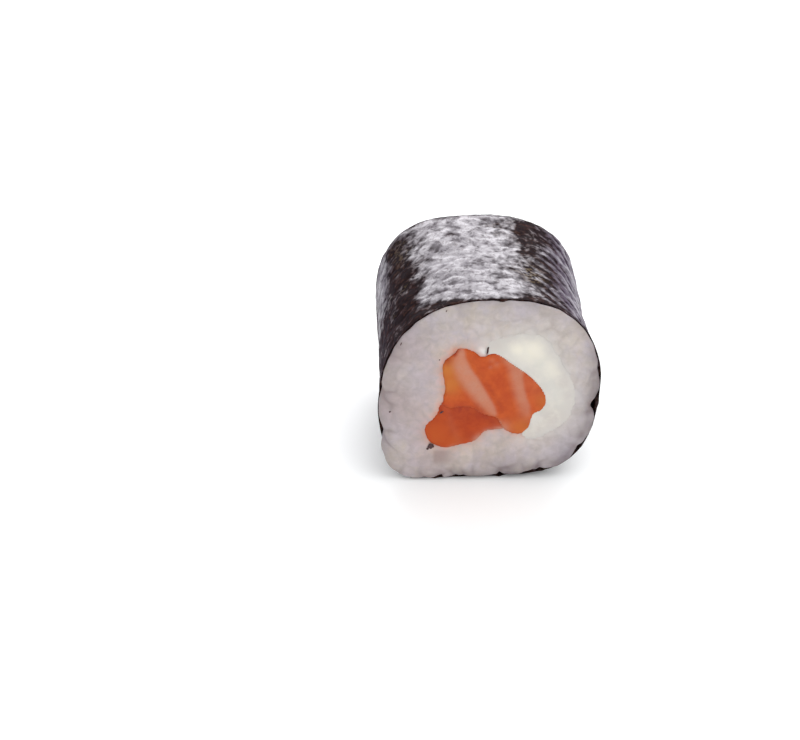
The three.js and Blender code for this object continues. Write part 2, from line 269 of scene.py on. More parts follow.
# Where the damp has dulled the sheet's gloss, and where (below 0) it has kept it: (degrees round the
# roll, place along it, reach round, reach along, strength).
DULL_PATCHES = (
    # the top
    (99, 0, 8.5, 60, -0.8), (78, -3, 3.2, 4.0, 0.35), (83, 9.6, 1.3, 0.8, 1.3), (82, 6.2, 0.9, 1.4, 1.2),
    (74, 10.4, 1.6, 0.8, 0.9), (84.5, -6.9, 0.6, 0.6, 1.3), (112, 8.5, 0.6, 0.8, 0.8),
    (107, 7.0, 0.6, 0.8, 0.9), (113, -1.0, 2.6, 3.0, -0.5), (113, -8.5, 3.0, 2.4, -0.4),
    (73, -3.0, 2.6, 5.0, 0.4),
    # the right shoulder
    (60, -3.4, 1.5, 2.4, 1.5), (64, 9.0, 1.9, 3.6, 2.2), (55, 8.8, 1.8, 3.0, 2.3), (45, 8.4, 1.7, 1.7, 1.6),
    (64.5, 3.0, 1.6, 2.5, 1.5), (41, 3.2, 1.9, 1.4, 1.5), (55.5, -0.9, 1.0, 1.2, 2.2),
    (55, -4.0, 0.8, 0.7, 1.8), (59, -7.1, 2.0, 1.6, 1.5), (58, -11.4, 2.4, 2.0, 3.0),
    (48, -1.8, 1.3, 1.9, 1.1), (64, -4.0, 1.4, 2.4, 0.9), (38, 12.0, 4.0, 1.6, 0.6),
    (64, -0.5, 1.8, 6.0, 0.75), (52, 1.0, 2.0, 3.0, 0.8), (52, -6.0, 1.4, 3.0, 0.6),
    # the left shoulder
    (141, -7, 2.9, 8.5, 2.8), (141, 7, 2.6, 8.0, 2.2), (128, -0.2, 1.4, 1.7, 1.3),
    (123.5, -3.0, 1.1, 1.0, 1.3), (131, 2.6, 1.2, 1.6, 0.8), (124, -12.3, 3.0, 1.4, 1.6),
    # the right side
    (18, 0, 5.5, 60, -0.9), (-25, -7.0, 5.0, 4.0, 0.9), (-35, 6.0, 6.0, 5.0, 0.8), (-60, -3.0, 6.0, 6.0, 0.7),
    # the left side
    (160, -8, 5.2, 8.0, 2.6), (172, -10, 4.0, 5.0, 1.4), (158, 6.5, 3.4, 6.0, -1.7),
    (190, 8.0, 5.0, 4.0, 0.8), (205, -2.0, 6.0, 5.0, 0.8),
    # the underside
    (230, 6.0, 5.0, 6.0, 0.7), (265, -5.0, 7.0, 6.0, 0.8),
)
MOST_DULL = 1.9  # how dull the patches alone make it where they meet

# Where the weed is thin and shows olive, given in the same way.
OLIVE_PATCHES = (
    (65, -4.4, 1.8, 2.4, 1.3), (79, 8.0, 1.8, 2.0, 0.5), (136, 7.0, 1.4, 3.5, 0.5),
    (-30, 2.0, 3.0, 3.0, 0.5), (200, 0.0, 4.0, 4.0, 0.5),
)
RAGGED_BY = 1.1  # how far the patches' edges wander


def patchy(place, patches):
    """The sum of the patches at each place on the sheet: its distance round from the lap, and along."""
    turned = place[..., 0] + RAGGED_BY * lumps(place, (0.3, 0.36, 1), 3.1)
    y = place[..., 1] + RAGGED_BY * lumps(place, (0.3, 0.36, 1), 8.3)
    total = np.zeros(turned.shape)
    for degrees, middle, reach_round, reach_along, strength in patches:
        round_from_lap = (radians(degrees) - LAP_EDGE) % (2 * math.pi) * FLAT_RADIUS
        away = ((turned - round_from_lap) / reach_round) ** 2 + ((y - middle) / reach_along) ** 2
        total += strength * np.exp(-away)
    return total


def angle_at(place):
    return turn_between(LAP_EDGE + place[..., 0] / FLAT_RADIUS, 0)


def dulled(place):
    """How dull the sheet is at each place on it, with light strands on the right shoulder's pleats."""
    angle, y = angle_at(place), place[..., 1]
    highest = np.radians(70 - 14 * smooth(y, 0, 6))
    strands = smooth(angle, *np.radians((34, 46))) * smooth(highest - angle, 0, radians(14))
    total = np.minimum(patchy(place, DULL_PATCHES), MOST_DULL)
    total += strands * (0.3 - 1.8 * smooth(pleats(angle, y), 0.6, 1.0))
    on_top = between(angle, np.radians((66, 78)), np.radians((98, 112)))
    on_left = smooth(angle, *np.radians((106, 118)))
    edge_reach = np.where(y < 0, 1.2 - 0.65 * on_top + 0.9 * on_left, 0.7)
    total += 2.6 * np.exp(-((np.maximum(from_end(angle, y), 0) / edge_reach) ** 2))
    return np.clip(total, -1.5, 2)


outside = sheet_skin(np.linspace(-1, 1, SHEET_ROWS))
back_edge = [sheet_skin(np.array([1.0]), depth) for depth in EDGE_DEPTHS]
inside = sheet_skin(np.linspace(1, -1, INSIDE_ROWS), inner=True)
front_edge = [sheet_skin(np.array([-1.0]), depth) for depth in reversed(EDGE_DEPTHS)]
skins = [outside, *back_edge, inside, *front_edge]
wrap = loop_mesh("nori_sheet", np.concatenate([points for points, _ in skins]))
wrap_places = np.concatenate([place for _, place in skins]).reshape(-1, 3)
wrap_angle = angle_at(wrap_places)
# Over the right shoulder and the left flank the base under the gloss turns violet: a painted lilac sheen that
# tints what those flanks reflect.
sheen_right = between(wrap_angle, np.radians((-10, 34)), np.radians((40, 62)))
sheen_left = between(wrap_angle, np.radians((135, 160)), np.radians((150, 180)))
mark(wrap, "sheet_place", wrap_places)
mark(wrap, "dulled", dulled(wrap_places))
mark(wrap, "olive", np.clip(patchy(wrap_places, OLIVE_PATCHES), 0, 1))
mark(wrap, "flank_sheen", sheen_right + 0.8 * sheen_left)


def add_node(tree, kind, settings=None, **sockets):
    """A node with its settings, and its sockets by name, each given a value or another node's output."""
    node = tree.nodes.new(kind)
    for key, value in (settings or {}).items():
        setattr(node, key, value)
    for key, value in sockets.items():
        put(tree, value, node.inputs[key.replace("_", " ")])
    return node


def put(tree, value, socket):
    if isinstance(value, bpy.types.NodeSocket):
        tree.links.new(value, socket)
    else:
        socket.default_value = value


def blended(tree, factor, first, second, how="MIX"):
    node = add_node(tree, "ShaderNodeMix", {"data_type": "RGBA", "blend_type": how})
    put(tree, factor, node.inputs[0])
    put(tree, first, node.inputs[6])
    put(tree, second, node.inputs[7])
    return node.outputs[2]


def worked(tree, how, *values):
    node = add_node(tree, "ShaderNodeMath", {"operation": how})
    for value, socket in zip(values, node.inputs):
        put(tree, value, socket)
    return node.outputs[0]


def weighed(tree, *pairs):
    """The sum of the given values, each times its weight."""
    total = 0.0
    for value, weight in pairs:
        total = worked(tree, "MULTIPLY_ADD", value, weight, total)
    return total


def ranged(tree, value, from_min, from_max, to_min=0.0, to_max=1.0):
    sockets = {"From_Min": from_min, "From_Max": from_max, "To_Min": to_min, "To_Max": to_max}
    return add_node(tree, "ShaderNodeMapRange", Value=value, **sockets).outputs[0]


def cloudy(tree, vector, scale, detail=3.0, roughness=0.5, distortion=0.0):
    sockets = {"Scale": scale, "Detail": detail, "Roughness": roughness, "Distortion": distortion}
    return add_node(tree, "ShaderNodeTexNoise", Vector=vector, **sockets).outputs[0]


def stretched(tree, vector, scale):
    return add_node(tree, "ShaderNodeMapping", Vector=vector, Scale=scale).outputs[0]


def marked(tree, name, output="Fac"):
    """What mark() has kept on the piece."""
    return add_node(tree, "ShaderNodeAttribute", {"attribute_name": name}).outputs[output]


def finish_named(name, piece, **same_all_over):
    """A new material on the piece: its node tree and its Principled shader."""
    material = bpy.data.materials.new(name)
    material.use_nodes = True
    piece.data.materials.clear()
    piece.data.materials.append(material)
    shader = material.node_tree.nodes["Principled BSDF"]
    for key, value in same_all_over.items():
        shader.inputs[key.replace("_", " ")].default_value = value
    return material.node_tree, shader


def bumpy(tree, shader, height, strength, distance, inputs=("Normal",)):
    """A fine bump on the surface. distance is in metres."""
    bump = add_node(tree, "ShaderNodeBump", Height=height, Strength=strength, Distance=distance)
    for name in inputs:
        put(tree, bump.outputs[0], shader.inputs[name])


NORI_BLACK = (0.0095, 0.0036, 0.0036, 1)
NORI_BROWN = (0.046, 0.0195, 0.0145, 1)
NORI_OLIVE = (0.125, 0.092, 0.055, 1)
GLOSS_GROUND = (0.024, 0.0095, 0.026, 1)
# painted lilac sheen for the flanks
PAINTED_SHEEN_VIOLET = (0.053, 0.024, 0.070, 1)

tree, shader = finish_named(
    "toasted_nori",
    wrap,
    Specular_IOR_Level=0.025,
    Sheen_Weight=0.035,
    Sheen_Roughness=0.35,
    Sheen_Tint=(0.72, 0.42, 1.0, 1),
    Coat_Roughness=0.3,
    Coat_IOR=1.6,
)
sheet_place = marked(tree, "sheet_place", "Vector")
fronds = cloudy(tree, stretched(tree, sheet_place, (0.85, 0.8, 1.0)), 0.8, 2, 0.55, 0.5)
flecks = cloudy(tree, stretched(tree, sheet_place, (0.8, 0.9, 1.0)), 1.6, 1, 0.5, 0.3)
patches = cloudy(tree, sheet_place, 0.3, 3, 0.55, 0.6)
weed = weighed(tree, (fronds, 0.5), (flecks, 0.5))
ground = blended(tree, ranged(tree, weed, 0.47, 0.62), NORI_BLACK, NORI_BROWN)
olive_places = worked(tree, "ADD", ranged(tree, patches, 0.62, 0.78), marked(tree, "olive"))
olive_share = worked(tree, "MULTIPLY", olive_places, ranged(tree, flecks, 0.46, 0.60))
ground = blended(tree, olive_share, ground, NORI_OLIVE)
# The gloss lies in patches, broken by dark specks and by fine creases.
clouds = weighed(tree, (flecks, 0.27), (fronds, 0.43), (patches, 0.30), (marked(tree, "dulled"), -0.085))
speck_clouds = cloudy(tree, stretched(tree, sheet_place, (1.0, 0.6, 1.0)), 1.9, 1, 0.5, 1.2)
specks = ranged(tree, speck_clouds, 0.56, 0.68, 1.0, 0.62)
crease_clouds = cloudy(tree, stretched(tree, sheet_place, (0.8, 0.9, 1.0)), 0.7, 3, 0.5, 1.2)
from_crease = worked(tree, "ABSOLUTE", worked(tree, "SUBTRACT", crease_clouds, 0.5))
off_crease = ranged(tree, from_crease, 0.0, 0.014, 0.55, 1.0)
broken = worked(tree, "MULTIPLY", specks, off_crease)
glossed = worked(tree, "MULTIPLY", ranged(tree, clouds, 0.37, 0.56), broken)
uneven_gloss = ranged(tree, weighed(tree, (fronds, 0.45), (patches, 0.55)), 0.40, 0.58, 0.5, 1.0)
# The violet base on the flanks is a painted lilac sheen.
gloss_colour = blended(tree, marked(tree, "flank_sheen"), GLOSS_GROUND, PAINTED_SHEEN_VIOLET)
put(tree, blended(tree, glossed, ground, gloss_colour), shader.inputs["Base Color"])
put(tree, worked(tree, "MULTIPLY", glossed, uneven_gloss), shader.inputs["Coat Weight"])
put(tree, ranged(tree, flecks, 0.35, 0.65, 0.62, 0.85), shader.inputs["Roughness"])
height = weighed(tree, (fronds, 0.7), (flecks, 0.3))
bumpy(tree, shader, height, 1.0, 0.00008, ("Normal", "Coat Normal"))

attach(wrap, "root")
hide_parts("nori_wrap")

# ---- Sushi rice -----------------------------------------------------------------------------------
# Short-grain rice, cooked soft and pressed round the fillings until the grains flatten against each
# other. At the two cuts the knife has sliced and smeared them level, and round the sides and foot they
# swell out past the wrap's edge. It is one body, with the tunnel that the fillings lie in.

RICE_COLUMNS = 640
SALMON_NODES = ("salmon_strip_upper", "salmon_strip_lower")
CHEESE_NODES = ("cream_cheese",)
rice_angle = np.linspace(-math.pi, math.pi, RICE_COLUMNS, endpoint=False)
rice_outwards = np.stack([np.cos(rice_angle), 0 * rice_angle, np.sin(rice_angle)], axis=-1)


def surface_of(nodes):
    """A search tree of the solids' faces, in metres."""
    points, faces = [], []
    for name in nodes:
        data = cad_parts[name].data
        start = len(points)
        points += [vertex.co.copy() for vertex in data.vertices]
        faces += [[start + i for i in polygon.vertices] for polygon in data.polygons]
    return BVHTree.FromPolygons(points, faces)


salmon_surface = surface_of(SALMON_NODES)
cheese_surface = surface_of(CHEESE_NODES)
filling_surface = surface_of(SALMON_NODES + CHEESE_NODES)


def tunnel_ring(y, inset=0.0):
    """Where the fillings' outside lies at y, seen from inside the rim towards the roll's centre."""
    seen_from = roll_point(rice_angle, wrap_form(rice_angle, y) - 1.2, y)
    centre = np.array([0, y, CENTRE_HEIGHT])
    ring = []
    for point in seen_from:
        start, inwards = Vector(point * 0.001), Vector(centre - point).normalized()
        hit = filling_surface.ray_cast(start, inwards)[0]
        ring.append(np.array(hit + inwards * inset * 0.001) * 1000)
    ring = np.array(ring)
    beside_it = np.roll(ring, 1, 0) + np.roll(ring, -1, 0)
    next_but_one = np.roll(ring, 2, 0) + np.roll(ring, -2, 0)
    soft = (3 * ring + 2 * beside_it + next_but_one) / 9
    soft[:, 1] = y
    return soft


def seeded_draw(seed):
    """A repeatable stream of numbers from 0 to 1, the one that lays the solid's grains too."""
    state = seed

    def draw():
        nonlocal state
        state = (state + 0x6D2B79F5) & 0xFFFFFFFF
        mixed = ((state ^ (state >> 15)) * (1 | state)) & 0xFFFFFFFF
        mixed = ((mixed + (((mixed ^ (mixed >> 7)) * (61 | mixed)) & 0xFFFFFFFF)) & 0xFFFFFFFF) ^ mixed
        return (mixed ^ (mixed >> 14)) / 2**32

    return draw


def over_edge(angle, y):
    """The rice's radius at its rim: out past the wrap round the sides, just inside it over the top."""
    front = y < 0
    foot_corner = np.where(front, 1.5, 0.95) * beside(angle, -131, math.degrees(0.26))
    on_right = smooth(np.cos(angle + radians(28)), 0.2, 0.7)
    uneven = 0.06 * np.sin(23 * angle + 2 * np.sin(5 * angle)) + 0.04 * np.sin(41 * angle + 1)
    lip = wrap_form(angle, y) + 0.18 - 0.05 * on_right + foot_corner + uneven
    lip = lip - 0.2 * rim_gap(angle, 3) * front
    under = wrap_radius(angle, y) - np.where(front, 0.08, SHEET + 0.05) + 0.5 * uneven
    return lip + (under - lip) * flush(angle)


# Rings of grains that follow the wrap as the solid's do: (how far in from the rim, spacing, depth,
# the first one's degrees, unevenness of the spacing, degrees that they lie off the ring's direction).
GRAIN_RINGS = (
    (1.35, 5.6, 1.45, -48, 0.1, 12),
    (3.9, 5.0, 1.2, -31, 0.3, 60),
    (6.4, 4.9, 1.2, 5, 0.3, 90),
    (8.9, 4.9, 1.2, 20, 0.3, 90),
)
GRAIN_LIFT = 1.35
draw = seeded_draw(11)


def stray(amount):
    """A drawn number from minus half the amount to half of it."""
    return amount * (draw() - 0.5)


grains = {-1: [], 1: []}  # for each cut, each grain's centre, lie and size
for side in (-1, 1):
    for inset, spacing, depth, start, uneven, lie_spread in GRAIN_RINGS:
        count = round(2 * math.pi * ((WRAP_WIDTH + WRAP_HEIGHT) / 4 - inset) / spacing)
        for i in range(count):
            angle = radians(start) + 2 * math.pi * (i + stray(uneven)) / count
            radius = over_edge(angle, side * CUT) - inset + stray(0.4)
            centre = roll_point(angle, radius, side * (CUT - depth + stray(0.35)), GRAIN_LIFT)
            lie = angle + stray(2 * radians(lie_spread))
            draw()  # the solid's grain has a tilt, which doesn't show here
            grains[side].append((centre, lie, 1 + stray(0.16)))

# A few that stand on end between them: (how far in from the rim, how many).
STANDING_GRAINS = ((2.7, 16), (5.1, 15), (7.6, 10))
standing = np.random.default_rng(8)
for side in (-1, 1):
    for inset, count in STANDING_GRAINS:
        for i in range(count):
            angle = 2 * math.pi * (i + standing.uniform(0.2, 0.8)) / count
            radius = over_edge(angle, side * CUT) - inset
            centre = roll_point(angle, radius, side * (CUT - 0.9), GRAIN_LIFT)
            grains[side].append((centre, standing.uniform(0, 6.3), standing.uniform(0.55, 0.75)))

GRAIN_HALF_LENGTH = 3.1
GRAIN_HALF_WIDTH = 1.55
GRAIN_HALF_THICKNESS = 1.9  # as pressed on its neighbours, along the roll
CREVICE_WIDTH = 0.26  # as a share of a grain's half size


def grain_relief(points, side):
    """For points on the rice: their grain's level, how far along it they are, the crevices, its tone."""
    distances, levels, tones = [], [], []
    tone_draw = np.random.default_rng(21 + side)
    for centre, lie, size in grains[side]:
        away = points - centre
        along = away[:, 2] * math.cos(lie) - away[:, 0] * math.sin(lie)
        across = away[:, 0] * math.cos(lie) + away[:, 2] * math.sin(lie)
        lengths = (
            along / (GRAIN_HALF_LENGTH * size),
            across / (GRAIN_HALF_WIDTH * size),
            away[:, 1] / GRAIN_HALF_THICKNESS,
        )
        distances.append(np.sqrt(sum(length**2 for length in lengths)))
        levels.append(tone_draw.uniform(-0.1, 0.06))
        tones.append(tone_draw.uniform(0, 1))
    distances = np.array(distances) * (1 + 0.12 * lumps(points, 0.7, 4.4))
    nearest = np.sort(np.partition(distances, 1, axis=0)[:2], axis=0)
    weight = np.exp(-(distances - nearest[0]) * 11)
    weight /= weight.sum(0)
    level = (weight * np.array(levels)[:, None]).sum(0)
    tone = (weight * np.array(tones)[:, None]).sum(0)
    crevice = np.exp(-(((nearest[1] - nearest[0]) / CREVICE_WIDTH) ** 2))
    return level, nearest[0], crevice, tone


FACE_ROWS = 50
RIM_ROWS = 13
HIDDEN_ROWS = 9
RICE_PROUD = 0.16  # the rice stands this much prouder round the fillings than at the rim
MOUTH_DIP = 0.35  # but dips this much where it meets them
RIM_ROUNDING = 1.4
RIM_DARKNESS = 0.42  # how far the rim's turn away from the light darkens it on the face's side


def rice_end(side):
    """The rows of one cut face from the tunnel's mouth to the rim, over it and back to the wrap."""
    facing = np.array([0, side, 0.0])
    to_table = CENTRE_HEIGHT / np.maximum(-np.sin(rice_angle), 0.05)
    round_width = RIM_ROUNDING * setback(rice_angle)
    lip_depth = CUT - nori_end(rice_angle, side) - 0.04
    gap = rim_gap(rice_angle) * (side < 0)
    below_top = 1 - flush(rice_angle)
    shaded = 0.5 + 0.6 * smooth(np.cos(rice_angle + radians(40)), 0.1, 0.8)
    mouth = tunnel_ring(side * (CUT - 0.3), 0.9)
    edge = np.minimum(over_edge(rice_angle, side * CUT), to_table)
    shoulder = roll_point(rice_angle, edge - round_width, side * CUT, 0.15)
    across = np.linalg.norm(shoulder - mouth, axis=1)
    points, normals, rimmed, rim_shade = [], [], [], []
    for share in np.linspace(0, 1, FACE_ROWS) ** 1.15:
        ring = mouth + (shoulder - mouth) * share
        level = RICE_PROUD * smooth(1 - share, 0, 0.7) - MOUTH_DIP * np.exp(-across * share / 0.65)
        ring[:, 1] = side * (CUT - 0.02 + level)
        points.append(ring)
        normals.append(np.broadcast_to(facing, ring.shape))
        rimmed.append(below_top * smooth(share, 0.8, 1.0))
        rim_shade.append(shaded * RIM_DARKNESS * np.exp(-across * (1 - share) / 0.9))
    for turn in np.linspace(0, math.pi / 2, RIM_ROWS + 1)[1:]:
        y = side * (CUT - 0.02 - lip_depth * (1 - math.cos(turn)))
        radius = np.minimum(over_edge(rice_angle, y), to_table)
        radius = radius - round_width * (1 - math.sin(turn)) - gap * math.sin(turn) ** 2
        points.append(roll_point(rice_angle, radius, y, 0.05))
        normals.append(facing * math.cos(turn) + rice_outwards * math.sin(turn))
        rimmed.append(below_top)
        rim_shade.append(shaded * (RIM_DARKNESS + 0.40 * math.sin(turn) ** 2))
    rows = np.array(points)
    points, normals = rows.reshape(-1, 3), np.array(normals).reshape(-1, 3)
    rimmed, rim_shade = np.concatenate(rimmed), np.concatenate(rim_shade)

    level, reach, crevice, tone = grain_relief(points, side)
    over_rim = np.clip(1 - normals @ facing, 0, 1)
    bold = 0.19 + 0.43 * rimmed  # the knife has left little of the grains' relief but at the rim
    height = np.minimum(level + 0.14 - 0.3 * reach**2, 0) - 0.1 * crevice
    height = height * bold - 0.14 * over_rim * rimmed * reach**2
    height += 0.022 * lumps(points, 0.45, 2.2) + 0.016 * lumps(points, 1.4, 6.1)
    height[-RICE_COLUMNS:] = np.minimum(height[-RICE_COLUMNS:], 0)
    points = points + normals * height[:, None]
    points[:, 2] = np.maximum(points[:, 2], 0.02)
    in_gaps = np.concatenate([np.zeros(FACE_ROWS * RICE_COLUMNS), np.tile(gap, RIM_ROWS)])
    rim_shade = rim_shade * (1 + 0.5 * lumps(points, 0.5, 9.1)) * (1.0 if side < 0 else 0.6)
    marks = {
        "crevice": np.clip(crevice * bold + in_gaps, 0, 1),
        "grain_tone": tone,
        "rim": np.clip(rim_shade, 0, 1),
    }
    return points.reshape(rows.shape), marks


front_rows, front_marks = rice_end(-1)
back_rows, back_marks = rice_end(1)
under_wrap = []
for share in np.linspace(-1, 1, HIDDEN_ROWS):
    y = share * (CUT - 1.5)
    radius = wrap_form(rice_angle, y) - SHEET - 0.5
    under_wrap.append(roll_point(rice_angle, radius, y, 2 * SHEET + 0.1))
tunnel = [tunnel_ring(y) for y in np.linspace(CUT - 0.6, 0.6 - CUT, HIDDEN_ROWS)]
rice = loop_mesh("rice_body", np.concatenate([front_rows, under_wrap, back_rows[::-1], tunnel]))
for name, hidden in (("crevice", 0.0), ("grain_tone", 0.5), ("rim", 0.0)):
    behind = back_marks[name].reshape(-1, RICE_COLUMNS)[::-1].ravel()
    out_of_sight = np.full(HIDDEN_ROWS * RICE_COLUMNS, hidden)
    mark(rice, name, np.concatenate([front_marks[name], out_of_sight, behind, out_of_sight]))


def each_point(mesh, field="co"):
    """The mesh's points, in metres, or another of their vectors, as an array."""
    values = np.zeros(len(mesh.vertices) * 3)
    mesh.vertices.foreach_get(field, values)
    return values.reshape(-1, 3)


def near(mesh, surface, reach):
    """1 where the mesh's points touch the surface, falling to nearly 0 at reach millimetres."""
    away = [surface.find_nearest(point)[3] * 1000 for point in each_point(mesh)]
    return np.exp(-((np.array(away) / reach) ** 1.3) * 2)


def on_cut_spots(points, spots):
    """0 to 1 by the spots on the front cut, each (x, z, reach, strength)."""
    total = 0
    for x, z, reach, strength in spots:
        away = (points[:, 0] - x) ** 2 + (points[:, 2] - z) ** 2
        total = total + strength * np.exp(-away / reach**2)
    return np.clip(total, 0, 1)


# Painted shade on the rice, grey mostly towards the left and lilac mostly towards the right, a pale tip
# beside the fillings' top brightened with a painted highlight, and painted shade in the slit in it. Below
# the lower strip lies a painted shadow of a grain, with a crisp left side.
CUT_SPOTS = {
    "grey_shade": (
        (-13, 13, 4.5, 0.85), (-11, 22, 3, 0.55), (-9, 3, 4, 0.5),
        (1, 3, 4, 0.25), (-13.4, 20, 1.6, 0.5),
    ),
    "lilac_shade": (
        (14, 17, 4, 0.35), (11, 5, 3.8, 0.9), (14, 11, 3, 0.4),
        (7, 26, 4, 0.3), (-10, 17, 2.5, 0.3),
    ),
    "pale": ((-0.8, 20.95, 0.42, 1.0), (-1.2, 21.4, 0.5, 0.8)),
    "slit": ((-0.42, 21.0, 0.25, 1.0), (-0.36, 21.6, 0.2, 0.9)),
}
rice_points = each_point(rice.data) * 1000
for name, spots in CUT_SPOTS.items():
    mark(rice, name, on_cut_spots(rice_points, spots))
x, y, z = rice_points.T
# A painted shadow of a grain below the lower strip, on the front cut only.
painted_grain_shadow = between(x, (-8.0, -7.5), (-6.6, -4.2)) * between(z, (2.4, 3.6), (4.8, 5.5))
mark(rice, "grain_shadow", painted_grain_shadow * (y < 0))
# A pink glow painted on the rice round the salmon, standing for light that the salmon's flesh scatters into
# it.
salmon_glow = 0.75 * near(rice.data, salmon_surface, 0.9) + 0.25 * near(rice.data, salmon_surface, 3.2)
mark(rice, "salmon_glow_share", salmon_glow)
mark(rice, "creamy", near(rice.data, cheese_surface, 2.5))


def soft_food_group():
    """Patches and fine unevenness of moist, soft food, for the rice, the salmon and the cheese."""
    group = bpy.data.node_groups.new("soft_food", "ShaderNodeTree")
    for name in ("Patch scale", "Fine scale"):
        group.interface.new_socket(name, in_out="INPUT", socket_type="NodeSocketFloat")
    for name in ("Patches", "Fine", "Height"):
        group.interface.new_socket(name, in_out="OUTPUT", socket_type="NodeSocketFloat")
    given = group.nodes.new("NodeGroupInput")
    out = group.nodes.new("NodeGroupOutput")
    place = group.nodes.new("ShaderNodeTexCoord").outputs["Object"]
    patches = cloudy(group, place, given.outputs["Patch scale"], 3, 0.55, 0.3)
    fine = cloudy(group, place, given.outputs["Fine scale"], 4, 0.6)
    put(group, patches, out.inputs["Patches"])
    put(group, fine, out.inputs["Fine"])
    put(group, weighed(group, (patches, 0.6), (fine, 0.4)), out.inputs["Height"])
    return group


SOFT_FOOD = soft_food_group()


def soft_food(tree, patch_mm, fine_mm):
    """The group placed in a material, with its own sizes: its patches, fine unevenness and height."""
    node = add_node(tree, "ShaderNodeGroup", {"node_tree": SOFT_FOOD})
    node.inputs["Patch scale"].default_value = 1000 / patch_mm
    node.inputs["Fine scale"].default_value = 1000 / fine_mm
    return node.outputs["Patches"], node.outputs["Fine"], node.outputs["Height"]


WARM_WHITE = (0.648, 0.577, 0.522, 1)
COOL_WHITE = (0.572, 0.517, 0.545, 1)
# painted shade, grey and lilac
PAINTED_GREY_SHADE = (0.485, 0.397, 0.400, 1)
PAINTED_LILAC_SHADE = (0.525, 0.475, 0.515, 1)
CHEESE_SMEARED = (0.715, 0.675, 0.635, 1)
# the salmon's painted pink glow on the rice
PAINTED_SALMON_GLOW = (0.74, 0.36, 0.26, 1)
CREVICE_SHADE = (0.30, 0.235, 0.235, 1)
# painted shadow of a grain
GRAIN_SHADOW_COLOUR = (0.385, 0.285, 0.262, 1)
RIM_SHADE = (0.105, 0.072, 0.084, 1)
# a pale grain tip, brightened with a painted highlight
PALE_TIP_HIGHLIGHT = (0.86, 0.80, 0.78, 1)
SLIT_SHADE = (0.12, 0.055, 0.05, 1)

tree, shader = finish_named(
    "cooked_rice",
    rice,
    Subsurface_Weight=0.4,
    Subsurface_Radius=(1.0, 0.72, 0.6),
    Subsurface_Scale=0.0006,
    Specular_IOR_Level=0.4,
)
patches, fine, height = soft_food(tree, patch_mm=1.6, fine_mm=0.35)
place = add_node(tree, "ShaderNodeTexCoord").outputs["Object"]
broad = cloudy(tree, place, 150, 2, 0.5, 0.4)
mottled = cloudy(tree, place, 900, 4, 0.65, 0.6)
cool_share = ranged(tree, weighed(tree, (patches, 0.5), (broad, 0.5)), 0.40, 0.60)
starch = blended(tree, cool_share, WARM_WHITE, COOL_WHITE)
# Painted shade, grey and lilac.
starch = blended(tree, marked(tree, "grey_shade"), starch, PAINTED_GREY_SHADE)
starch = blended(tree, marked(tree, "lilac_shade"), starch, PAINTED_LILAC_SHADE)
tone = weighed(tree, (marked(tree, "grain_tone"), 0.08), (mottled, 0.55), (patches, 0.35), (1.0, 0.52))
tone_grey = add_node(tree, "ShaderNodeCombineColor", Red=tone, Green=tone, Blue=tone).outputs[0]
starch = blended(tree, 1.0, starch, tone_grey, "MULTIPLY")
creamy = worked(tree, "MULTIPLY", marked(tree, "creamy"), ranged(tree, patches, 0.38, 0.6, 0.6, 1.15))
starch = blended(tree, creamy, starch, CHEESE_SMEARED)
# Painted pink glow round the salmon.
salmon_glow_share = worked(tree, "MULTIPLY", marked(tree, "salmon_glow_share"), ranged(tree, mottled, 0.35, 0.65, 0.35, 1.1))
starch = blended(tree, salmon_glow_share, starch, PAINTED_SALMON_GLOW)
starch = blended(tree, worked(tree, "MULTIPLY", marked(tree, "crevice"), 0.7), starch, CREVICE_SHADE)
# Painted shadow of a grain.
starch = blended(tree, worked(tree, "MULTIPLY", marked(tree, "grain_shadow"), 0.75), starch, GRAIN_SHADOW_COLOUR)
starch = blended(tree, marked(tree, "rim"), starch, RIM_SHADE)
# The pale tip's painted highlight, then the slit's painted shade.
starch = blended(tree, marked(tree, "pale"), starch, PALE_TIP_HIGHLIGHT)
starch = blended(tree, marked(tree, "slit"), starch, SLIT_SHADE)
put(tree, starch, shader.inputs["Base Color"])
put(tree, ranged(tree, fine, 0.3, 0.7, 0.42, 0.62), shader.inputs["Roughness"])
bumpy(tree, shader, height, 0.6, 0.00012)

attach(rice, "root")
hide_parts("sushi_rice")

# ---- Salmon strips --------------------------------------------------------------------------------
# Two strips of raw salmon, cut along the fillet and laid one on the other. The flesh is orange, with
# pale bands of fat between its flakes that run the whole length of the strip, and it is moist.

FILLING_CENTRE = np.array([1.0, 14.5])
FILLING_TURN = radians(9)  # the fillings turn this far on their way from the front cut to the back


def bend(y):
    """How far to the side and up the fillings have wandered at y."""
    return np.stack([0.35 * np.sin(-0.3 * y), 0.3 * np.sin(-0.22 * y + 1)], axis=-1)


def front_place(points, back_size):
    """Where a filling's points would lie on the front cut, if it did not turn on its way back."""
    y = points[:, 1]
    share = np.clip(0.5 + y / ROLL_LENGTH, 0, 1)
    flat = points[:, [0, 2]] - FILLING_CENTRE - bend(y) + bend(np.full_like(y, -CUT))
    turn = -FILLING_TURN * share
    x = flat[:, 0] * np.cos(turn) - flat[:, 1] * np.sin(turn)
    z = flat[:, 0] * np.sin(turn) + flat[:, 1] * np.cos(turn)
    size = 1 + (back_size - 1) * share
    return x / size + FILLING_CENTRE[0], z / size + FILLING_CENTRE[1]


def write_points(mesh, points):
    mesh.vertices.foreach_set("co", (points * 0.001).ravel())
    mesh.update()


